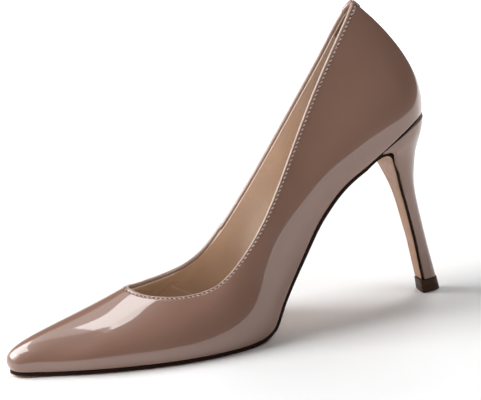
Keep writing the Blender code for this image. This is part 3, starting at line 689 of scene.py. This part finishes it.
def hole_mesh(centres, outward, along, radius):
    """Small flat dark discs, one at each end of the stitches: painted shade for the holes."""
    sides = 10
    points, faces = [], []
    for centre, normal, direction in zip(centres, unit(outward), unit(along)):
        cross = unit(np.cross(normal, direction))
        start = len(points)
        for turn in np.linspace(0, 2 * math.pi, sides, endpoint=False):
            spread = 1.2 * direction * math.cos(turn) + cross * math.sin(turn)
            points.append(centre + normal * 0.05 + radius * spread)
        faces.append(tuple(range(start, start + sides)))
    return np.array(points), faces


def add_stitch_row(name, row, facing, thread, hole, slant=STITCH_SLANT, scale=1.0):
    """A row of slanted stitches with dark discs of painted shade for their holes. Facing is -1 on the outer
    face, 1 inside.
    """
    centres, inward = row
    along = np.gradient(centres, axis=0)
    tilt = math.radians(slant)
    outward = unit(inward * facing)
    direction = unit(along)
    cross = np.cross(outward, direction)
    slanted = direction * math.cos(tilt) + cross * math.sin(tilt)
    length, radius = STITCH_LENGTH * scale, STITCH_RADIUS * scale
    points, faces = stitch_mesh(centres, slanted, outward, length, radius, 0.16)
    add_piece(name, points, faces, [thread])
    ends = np.concatenate([centres - slanted * length / 2, centres + slanted * length / 2])
    points, faces = hole_mesh(ends, np.tile(outward, (2, 1)), np.tile(slanted, (2, 1)), radius * 1.6)
    add_piece(name + "_holes", points, faces, [hole])


def stitch_values(values, points):
    """The value at the middle of each stitch of a line, which passes the points at these values."""
    run = run_along(points)
    count = int(run[-1] / STITCH_PITCH)
    return np.interp((np.arange(count) + 0.5) * run[-1] / count, run, values)


def row_at(stations, heights, depth):
    """Places of stitches at a depth inside the outer face, with the inward directions."""
    centres, inward, _, _ = upper_frame(stations, heights)
    return centres + inward * depth, inward


def row_along_rim(first, last, distance, depth):
    """A row of stitches that follows the topline, at a distance under it."""
    coarse = np.linspace(first, last, 400)
    points = upper_point(coarse, height_below(coarse, [distance])[0])
    stations = stitch_values(coarse, points)
    return row_at(stations, height_below(stations, [distance])[0], depth)


def row_up_line(station_at, low, high, depth):
    """A row of stitches that climbs the upper along one line."""
    coarse = np.linspace(low, high, 200)
    heights = stitch_values(coarse, upper_point(station_at(coarse), coarse))
    return row_at(station_at(heights), heights, depth)


def beside(station, distance):
    """A line on the upper that keeps a distance from the line of one station."""
    def station_at(heights):
        step = upper_point(station + 0.1, heights) - upper_point(station - 0.1, heights)
        return station + distance * 0.2 / np.linalg.norm(step, axis=-1)
    return station_at


def make_stitching(thread, hole):
    """One row round the topline from tab edge to tab edge, and one up the side seam."""
    first, last = BACK_LINE + TAB_MEDIAL_SPAN, WHOLE_ROUND + BACK_LINE - TAB_LATERAL_SPAN
    row = row_along_rim(first, last, STITCH_DISTANCE, GROOVE_DEPTH)
    add_stitch_row("topline_stitching", row, -1, thread, hole)
    row = row_up_line(beside(WHOLE_ROUND - SIDE_SEAM_LINE, 1.6), 0.02, 0.93, -0.48)
    add_stitch_row("side_seam_stitching", row, -1, thread, hole)


# ---- back tab

def rounded_edge(distance, height):
    """Height of a cut edge's rounded profile at a distance in from the edge."""
    radius = 0.5
    return height * np.sqrt(1 - np.clip(1 - distance / radius, 0, 1) ** 2)


def make_back_tab(patent):
    """The lens-shaped tab folded over the top of the back seam, mostly on its medial side."""
    reach, thickness, columns = 5.2, 0.6, 45
    across = np.linspace(-1, 1, columns)
    stations = np.linspace(BACK_LINE - TAB_LATERAL_SPAN, BACK_LINE + TAB_MEDIAL_SPAN, columns)
    lens = RIM_RADIUS + 0.6 + reach * np.cos(across * math.pi / 2) ** 0.8
    side_distance = (1 - np.abs(across)) * 5
    rows = []
    for share in np.concatenate([[1.0, 0.985, 0.96, 0.92, 0.86], np.linspace(0.78, 0, 12)]):
        distance = RIM_RADIUS + (lens - RIM_RADIUS) * share
        heights = np.array([height_below([s], [d])[0, 0] for s, d in zip(stations, distance)])
        points, inward, up, _ = upper_frame(stations, heights)
        edge = np.minimum((1 - share) * (lens - RIM_RADIUS), side_distance)
        rows.append(points - inward * rounded_edge(edge, thickness)[:, None])
    radius = RIM_RADIUS + rounded_edge(side_distance, thickness)
    centre = points + inward * RIM_RADIUS
    for angle in np.radians(np.linspace(15, 180, 10)):
        rows.append(centre + radius[:, None] * (up * math.sin(angle) - inward * math.cos(angle)))
    for drop in (1.0, 2.2, 3.4, 3.8):
        settle = 0.25 if drop > 3.5 else 0.0
        rows.append(centre + inward * (radius - settle)[:, None] - up * drop)
    add_sheet("back_tab_patch", np.array(rows), [patent], "back_tab")


# ---- linings

def lining_seam(side_sign, shift=0.0):
    """Station of the lining's side seam, which leans towards the toe as it climbs."""
    def station_at(heights):
        return shift + side_sign * (LINING_SEAM_LINE + 2.4 * (0.8 - np.asarray(heights)))
    return station_at


def fixed(station):
    """A seam that keeps one station at every height."""
    def station_at(heights):
        return np.full(np.shape(heights), float(station))
    return station_at


def lining_sheet(name, first_at, last_at, depth_low, thickness, material, replaced):
    """A lining panel from just under the folded rim down to the footbed, between two seam lines."""
    span = even_stations(float(first_at(1.0)), float(last_at(1.0)), 1.4, 0.9)
    share = (span - span[0]) / (span[-1] - span[0])
    drops = np.array([LINING_START, 2.2, 3.2, 4.6, 6.4, 8.6])
    top = height_below(span, drops)
    low = 0.06
    body = low + np.linspace(0, 1, 26)[:-1, None] * (top[-1] - low)[None, :]
    heights = np.concatenate([body, top[::-1]])
    around = first_at(heights) * (1 - share) + last_at(heights) * share
    rim_depth = 2 * RIM_RADIUS + 0.05
    blend = smooth_step(0.0, 1.0, np.linspace(0, 1, len(heights)) ** 3)
    depths = depth_low + (rim_depth - depth_low) * blend
    points, inward, _, _ = upper_frame(around, heights)
    grid = points + inward * depths[:, None, None]
    thicken(add_sheet(name, grid, [material], replaced), thickness, 0.18)


def make_linings(lining, grip, thread, hole):
    """The vamp lining laps over the quarter linings; the heel grip lies over both at the back."""
    overlap = 0.05
    grip_lateral, grip_medial = HEEL_GRIP_LINE, WHOLE_ROUND - HEEL_GRIP_LINE
    lining_sheet("vamp_lining_panel", lining_seam(-1), lining_seam(1), LINING_DEPTH, 1.0,
                 lining, "vamp_lining")
    lining_sheet("lateral_lining_panel", lining_seam(1, -overlap), fixed(grip_lateral + overlap),
                 LINING_DEPTH, 0.7, lining, "lateral_quarter_lining")
    lining_sheet("medial_lining_panel", fixed(grip_medial - overlap), lining_seam(-1, WHOLE_ROUND + overlap),
                 LINING_DEPTH, 0.7, lining, "medial_quarter_lining")
    lining_sheet("heel_grip_panel", fixed(grip_lateral), fixed(grip_medial),
                 LINING_DEPTH - 0.4, 1.3, grip, "heel_grip_lining")
    inner_face = LINING_DEPTH + 0.9
    for name, station, shift in (("lateral", grip_lateral, 1.3), ("medial", grip_medial, -1.3)):
        row = row_up_line(beside(station, shift), 0.3, 0.93, inner_face)
        add_stitch_row(name + "_grip_stitching", row, 1, thread, hole, 0, 0.8)


# ---- footbed

def edge_half_width(x, side):
    """Half width of the upper's lower edge on one side, at x."""
    first = 0 if side == LATERAL else BACK_LINE
    edge = upper_point(np.linspace(first, first + BACK_LINE, 481), 0.0)
    order = np.argsort(edge[:, 0])
    return np.interp(x, edge[order, 0], np.abs(edge[order, 1]))


def footbed_grid(first, last, level, inset, count, across, crown=None):
    """Points of a layer that follows the tread; crown adds height over its middle or edge."""
    share = (1 - np.cos(np.linspace(0, math.pi, count))) / 2
    xs = first + (last - first) * share
    lateral, medial = (np.maximum(edge_half_width(xs, side) - inset, 1.0) for side in (LATERAL, MEDIAL))
    columns = []
    for u in np.linspace(-1, 1, across):
        x, z = tread_level(xs, level + (crown(share, u) if crown else 0))
        columns.append(np.column_stack([x, u * (lateral if u < 0 else medial), z]))
    return np.stack(columns, axis=1)


def make_sock(material):
    """The sock leather: its edges turn up a little against the linings."""
    def crown(share, u):
        return 0.5 * abs(u) ** 8 - 0.35 * (1 - u * u)

    top = SOCK_LEVEL + SOCK_THICKNESS
    grid = footbed_grid(9.5, 214, top, LINING_DEPTH + 1.3, 150, 31, crown)[:, ::-1]
    obj = add_sheet("sock_leather_bed", grid, [material], "sock_lining")
    thicken(obj, SOCK_THICKNESS - 0.1, 0.15)


def make_pad(name, first, last, replaced, foam):
    """A foam pad with a flat base and a crowned top that thins out to its edge."""
    inset = LINING_DEPTH + 6

    def crown(share, u):
        ends = np.clip(1 - (2 * share - 1) ** 4, 0, 1)
        return (PAD_THICKNESS - 0.35) * ends * (1 - u ** 4)

    top = footbed_grid(first, last, PAD_LEVEL + 0.05, inset, 40, 21, crown)
    base = footbed_grid(first, last, PAD_LEVEL, inset, 40, 21)
    rows, columns = top.shape[:2]
    offset = rows * columns
    faces = [face[::-1] for face in grid_faces(rows, columns)]
    faces += grid_faces(rows, columns, start=offset)
    ids = np.arange(offset).reshape(rows, columns)
    border = [*ids[:, 0], *ids[-1, 1:], *ids[-2::-1, -1], *ids[0, -2:0:-1]]
    for a, b in zip(border, border[1:] + border[:1]):
        faces.append((a, b, b + offset, a + offset))
    points = np.concatenate([top.reshape(-1, 3), base.reshape(-1, 3)])
    obj = add_piece(name, points, faces, [foam], [replaced])


# ---- sole and heel

def outsole_path():
    """The outsole's outer middle line with half widths: tread, shank, arch and heel breast."""
    toe = 1.0 + 13 * np.linspace(0, 1, 16) ** 2
    xs = np.concatenate([toe, np.linspace(15, 112, 60), np.linspace(113, 183, 60)])
    lateral, medial = (np.maximum(edge_half_width(xs, side) - 0.3, 0.3) for side in (LATERAL, MEDIAL))
    front = np.column_stack([xs, tread_height(xs), lateral, medial])
    bend = np.array(BREAST_LINE)
    knots = run_along(bend[:, :2])
    curve = cubic_through(knots, bend, np.linspace(knots[0], knots[-1], 110))
    return np.vstack([front, curve[:, [0, 1, 2, 2]]])


def sole_side(half_width, depth, bevel):
    """One side of the sole's section: rounded lower edge, painted side, upper corner."""
    return [
        (half_width - 0.35 * bevel, 0.28 * bevel), (half_width - 0.06, 0.75 * bevel),
        (half_width, 0.45 * depth), (half_width - 0.03, depth - 0.25), (half_width - 0.22, depth),
    ]


def sole_outline(lateral, medial, depth):
    """The section's points in order: tread, medial side, inner face, lateral side."""
    bevel = min(0.9, 0.45 * depth, 0.8 * lateral)
    tread = [(y, 0.0) for y in np.linspace(bevel - lateral, medial - bevel, TREAD_POINTS)]
    top = [(y, depth) for y in np.linspace(medial - 1.0, 1.0 - lateral, INNER_POINTS)]
    lateral_side = [(-y, z) for y, z in reversed(sole_side(lateral, depth, bevel))]
    return tread + sole_side(medial, depth, bevel) + top + lateral_side


def make_outsole(leather, paint):
    """Leather sole: bare tread and lower bevel, dark painted side."""
    path = outsole_path()
    tangents = unit(np.gradient(path[:, :2], axis=0))
    inward = np.column_stack([-tangents[:, 1], tangents[:, 0]])
    thickness = np.interp(path[:, 0], SKIVING_X, [OUTSOLE_THICKNESS, FLAP_THICKNESS])
    rings = []
    for (x, z, lateral, medial), direction, depth in zip(path, inward, thickness):
        rings.append([(x + direction[0] * rise, y, z + direction[1] * rise)
                      for y, rise in sole_outline(lateral, medial, depth)])
    grid = np.array(rings)
    rows, columns = grid.shape[:2]
    faces = [face[::-1] for face in grid_faces(rows, columns, True)]
    medial_paint = range(TREAD_POINTS, TREAD_POINTS + PAINTED_FACES)
    lateral_paint = range(columns - 1 - PAINTED_FACES, columns - 1)
    slots = [int(i % columns in medial_paint or i % columns in lateral_paint) for i in range(len(faces))]
    faces.append(tuple(range(columns)))
    faces.append(tuple((rows - 1) * columns + j for j in range(columns - 1, -1, -1)))
    slots += [1, 0]
    add_piece("leather_outsole", grid, faces, [leather, paint], ["outsole"], slots)


def d_shape(count):
    """The back of a superellipse: how far back and how far out, each as a share, side to side."""
    angles = np.linspace(-math.pi / 2, math.pi / 2, count)
    sines = np.sin(angles)
    power = 2 / SQUARENESS
    return np.abs(np.cos(angles)) ** power, np.sign(sines) * np.abs(sines) ** power


def heel_section(row, inset, count, lift=0.0):
    """Outline of one heel section, from its front lateral corner round the back."""
    front, back = np.array(row[:2]), np.array(row[2:4])
    half_width, bulge = row[4:]
    length = np.linalg.norm(back - front)
    along = (back - front) / length
    up = np.array([-along[1], along[0]])
    reach, spread = d_shape(count)
    rise = bulge * 4 * reach * (1 - reach) + lift
    middle = front + np.outer(reach * (length - inset), along) + np.outer(rise, up)
    return np.column_stack([middle[:, 0], spread * (half_width - inset), middle[:, 1]])


def heel_rows(count):
    """Heel sections in even steps up the heel's back."""
    table = np.array(HEEL_SECTIONS)
    knots = run_along(table[:, 2:4])
    return cubic_through(knots, table, np.linspace(knots[0], knots[-1], count))


def make_heel_cover(patent):
    """Patent wrapped round the heel, turned in over its top and round its front edges."""
    count = 61
    rows = heel_rows(110)
    # The wrapped leather closes up against the sole's flap near the seat.
    rows[:, 0] -= 1.3 * smooth_step(66, 74, rows[:, 1])
    rows[:, 1] -= 0.7 * smooth_step(76, 80, rows[:, 1])
    rings = [heel_section(row, 0.0, count) for row in rows]
    roll = 1.1
    for angle in np.radians([20, 40, 60, 80, 90]):
        rings.append(heel_section(rows[-1], roll * (1 - math.cos(angle)), count, roll * math.sin(angle)))
    rings.append(heel_section(rows[-1], 4.0, count, roll))
    turned = []
    for ring in rings:
        start, end = ring[0], ring[-1]
        middle = (start + end) / 2
        first = [start + (middle - start) * k for k in (0.5, 0.12, 0.03)]
        last = [end + (middle - end) * k for k in (0.03, 0.12, 0.5)]
        turned.append(first + list(ring) + last)
    add_sheet("heel_cover_leather", np.array(turned), [patent], "heel_cover")


def make_rand(paint):
    """Dark strip seen between the upper's lower edge and the heel, thinning out forwards."""
    stations = even_stations(8.9, WHOLE_ROUND - 8.9, 1.0, 0.0)
    points, inward, _, _ = upper_frame(stations, np.zeros(len(stations)))
    lean, rise = tread_normal(np.clip(points[:, 0], TOE_X, 215))
    up = np.column_stack([lean, np.zeros(len(lean)), rise])
    flat = unit(inward * [1, 1, 0])
    depth = 0.5 + 1.6 * smooth_step(186, 204, points[:, 0])
    rows = [points + flat * inset + up * 0.3 for inset in (3.0, 0.55)]
    for inset, share in ((0.42, 0.1), (0.42, 0.5), (0.5, 0.8), (0.8, 1.0), (3.5, 1.05)):
        rows.append(points + flat * inset - up * (depth * share)[:, None])
    grid = np.array(rows)[::-1]
    add_sheet("heel_seat_edge", grid, [paint], "heel_seat_rand")


def make_lift(rubber):
    """D-shaped top lift with slightly rounded edges and a faint parting line."""
    middle_x = (LIFT_FRONT_X + LIFT_BACK_X) / 2
    reach, spread = d_shape(49)
    back = np.column_stack([LIFT_FRONT_X + (LIFT_BACK_X - LIFT_FRONT_X) * reach, LIFT_HALF_WIDTH * spread])
    shares = np.linspace(1, -1, 16)[1:-1]
    front = np.column_stack([LIFT_FRONT_X - 0.35 * (1 - shares ** 4), LIFT_HALF_WIDTH * shares])
    outline = np.concatenate([back, front])
    levels = [
        (0.0, 0.90), (0.0, 0.955), (0.12, 0.985), (0.35, 1.0), (3.2, 0.975), (3.35, 0.958), (3.5, 0.972),
        (6.5, 0.945), (6.8, 0.93), (LIFT_HEIGHT, 0.90), (LIFT_HEIGHT, 0.7),
    ]
    lean = -0.9
    rings = []
    for z, scale in levels:
        x = middle_x + (outline[:, 0] - middle_x) * scale + lean * z / LIFT_HEIGHT
        rings.append(np.column_stack([x, outline[:, 1] * scale, np.full(len(outline), z)]))
    grid = np.array(rings)
    rows, columns = grid.shape[:2]
    faces = grid_faces(rows, columns, True)
    faces.append(tuple(range(columns - 1, -1, -1)))
    faces.append(tuple((rows - 1) * columns + j for j in range(columns)))
    add_piece("top_lift_block", grid, faces, [rubber], ["top_lift"])


# ---- CAD nodes that stay

def dress_cad_nodes():
    """Materials for the inner pieces, whose CAD shapes are shown as they are."""
    steel = make_metal("spring_steel", (0.56, 0.57, 0.60), (0.42, 0.43, 0.46), 0.28)
    brass = make_metal("brassed_steel", (0.76, 0.56, 0.27), (0.58, 0.41, 0.18), 0.26)
    board = make_fibre("insole_fibre_board", (0.56, 0.43, 0.31), (0.42, 0.31, 0.21), 2.0)
    stiffener = make_fibre("stiffener_board", (0.66, 0.59, 0.46), (0.54, 0.47, 0.35), 1.2)
    dressed = {
        "steel_shank": steel, "heel_screw": steel, "heel_tube": steel, "top_lift_pin": steel,
        "shank_rivet_1": brass, "shank_rivet_2": brass,
        "heel_nail_1": brass, "heel_nail_2": brass, "heel_nail_3": brass, "heel_nail_4": brass,
        "insole_board": board, "shank_board": board, "toe_puff": stiffener, "heel_counter": stiffener,
        "bottom_filler": make_cork(), "heel_core": make_plastic(), "topline_tape": make_tape(),
    }
    for name, material in dressed.items():
        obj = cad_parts[name]
        for slot in obj.material_slots:
            slot.link = "OBJECT"
            slot.material = material


# ---- light, floor and camera

def add_area_light(name, place, target, size_x, size_y, radiance):
    """A softbox: a rectangle of even brightness, aimed at a point."""
    data = bpy.data.lights.new(name, "AREA")
    data.shape = "RECTANGLE"
    data.size, data.size_y = size_x, size_y
    data.energy = radiance * math.pi * size_x * size_y
    place, target = Vector(place), Vector(target)
    aim = (target - place).to_track_quat("-Z", "Y").to_matrix().to_4x4()
    link_object(name, data).matrix_world = Matrix.Translation(place) @ aim


def make_world():
    """A dim room with a pale backdrop: the low part of the surroundings beyond the shoe is bright."""
    world = bpy.data.worlds.new("studio")
    bpy.context.scene.world = world
    world.use_nodes = True
    tree = world.node_tree
    direction = tree.nodes.new("ShaderNodeTexCoord").outputs["Generated"]

    def share(axis, low, high):
        """Runs from 0 to 1 while the direction's part along the axis runs from low to high."""
        part = tree.nodes.new("ShaderNodeVectorMath")
        part.operation = "DOT_PRODUCT"
        part.inputs[1].default_value = axis
        tree.links.new(direction, part.inputs[0])
        return map_range(tree, part.outputs["Value"], low, high, kind="SMOOTHSTEP")

    both = tree.nodes.new("ShaderNodeMath")
    both.operation = "MULTIPLY"
    tree.links.new(share((-0.6, 0.8, 0), 0.05, 0.5), both.inputs[0])
    tree.links.new(share((0, 0, -1), -0.45, -0.2), both.inputs[1])
    background = tree.nodes["Background"]
    background.inputs["Color"].default_value = (1, 0.99, 0.98, 1)
    strength = map_range(tree, both.outputs["Value"], 0, 1, ROOM_LIGHT, BACKDROP_LIGHT)
    tree.links.new(strength, background.inputs["Strength"])


def make_floor():
    """White ground; a faint glow far from the shoe keeps the distance as pale as the foreground."""
    maker = Maker("pale_floor", (0.93, 0.93, 0.93), 0.9)
    maker.tint(maker.noise(400.0, 1.0), (0.925, 0.925, 0.925))
    glow = maker.nodes.new("ShaderNodeTexGradient")
    glow.gradient_type = "SPHERICAL"
    maker.links.new(maker.stretched((1 / GLOW_REACH, 1 / GLOW_REACH, 1)), glow.inputs["Vector"])
    strength = map_range(maker.tree, glow.outputs["Fac"], 0.0, 0.88, FLOOR_GLOW, 0.0)
    maker.links.new(strength, maker.shader.inputs["Emission Strength"])
    maker.shader.inputs["Emission Color"].default_value = (1, 1, 1, 1)
    mesh = bpy.data.meshes.new("floor")
    left, right, near, far = -2.6, 2.6, -1.7, 4.5
    corners = [(left, near, 0), (right, near, 0), (right, far, 0), (left, far, 0)]
    mesh.from_pydata(corners, [], [(0, 1, 2, 3)])
    mesh.materials.append(maker.material)
    floor = link_object("floor", mesh)
    floor.location = (0, 0, -0.0002)


def softbox(name, azimuth, elevation, size, radiance):
    """A square softbox aimed at the shoe. Azimuth 0 is the camera side, -90 the toe side."""
    turn, rise = math.radians(azimuth), math.radians(elevation)
    away = Vector((math.sin(turn) * math.cos(rise), -math.cos(turn) * math.cos(rise), math.sin(rise)))
    add_area_light(name, away * LIGHT_DISTANCE, (0, 0, 0.04), size, size, radiance)


def make_lights():
    """Softboxes round the shoe, and a small window whose reflection lies on the vamp."""
    softbox("key", -110, 40, 0.9, 7.3)
    softbox("left_fill", -90, 30, 0.5, 3.2)
    softbox("left_back_high", -135, 65, 0.5, 1.3)
    softbox("back_right", 135, 50, 0.6, 3.9)
    softbox("front_right", 45, 50, 0.5, 3.4)
    softbox("front_high", 20, 60, 0.5, 0.8)
    add_area_light("overhead_window", (-0.29, 0.16, 1.1), (-0.29, 0.16, 0), 0.14, 0.177, 6.8)


def make_camera():
    """Slightly above and in front of the lateral side, with the frame turned a little."""
    yaw, pitch, roll = (math.radians(angle) for angle in (CAMERA_YAW, CAMERA_PITCH, CAMERA_ROLL))
    place = Vector(to_world(CAMERA_PLACE)[0])
    forward = Vector((math.sin(yaw) * math.cos(pitch), math.cos(yaw) * math.cos(pitch), -math.sin(pitch)))
    level_right = Vector((math.cos(yaw), -math.sin(yaw), 0))
    level_up = level_right.cross(forward)
    right = math.cos(roll) * level_right - math.sin(roll) * level_up
    up = math.sin(roll) * level_right + math.cos(roll) * level_up
    data = bpy.data.cameras.new("camera")
    data.sensor_width, data.lens = SENSOR_WIDTH, CAMERA_LENS
    data.clip_start, data.clip_end = 0.01, 20
    camera = link_object("camera", data)
    turned = Matrix((right, up, -forward)).transposed().to_4x4()
    camera.matrix_world = Matrix.Translation(place) @ turned
    bpy.context.scene.camera = camera


# ---- assembly

def main():
    patent = make_patent()
    lining = make_lining_leather()
    grip = make_grip_leather()
    thread = make_thread()
    hole = make_hole_shade()
    paint = make_edge_paint()
    foam = make_foam()
    make_shells(patent, make_highlight_patent())
    make_stitching(thread, hole)
    make_back_tab(patent)
    make_linings(lining, grip, thread, hole)
    make_sock(make_sock_leather())
    make_pad("ball_cushion", 58, 104, "ball_pad", foam)
    make_pad("heel_cushion", 172, 211, "heel_pad", foam)
    make_outsole(make_sole_leather(), paint)
    make_heel_cover(patent)
    make_rand(paint)
    make_lift(make_lift_rubber())
    dress_cad_nodes()
    make_world()
    make_floor()
    make_lights()
    make_camera()
    bpy.context.scene.view_settings.view_transform = "Standard"


main()
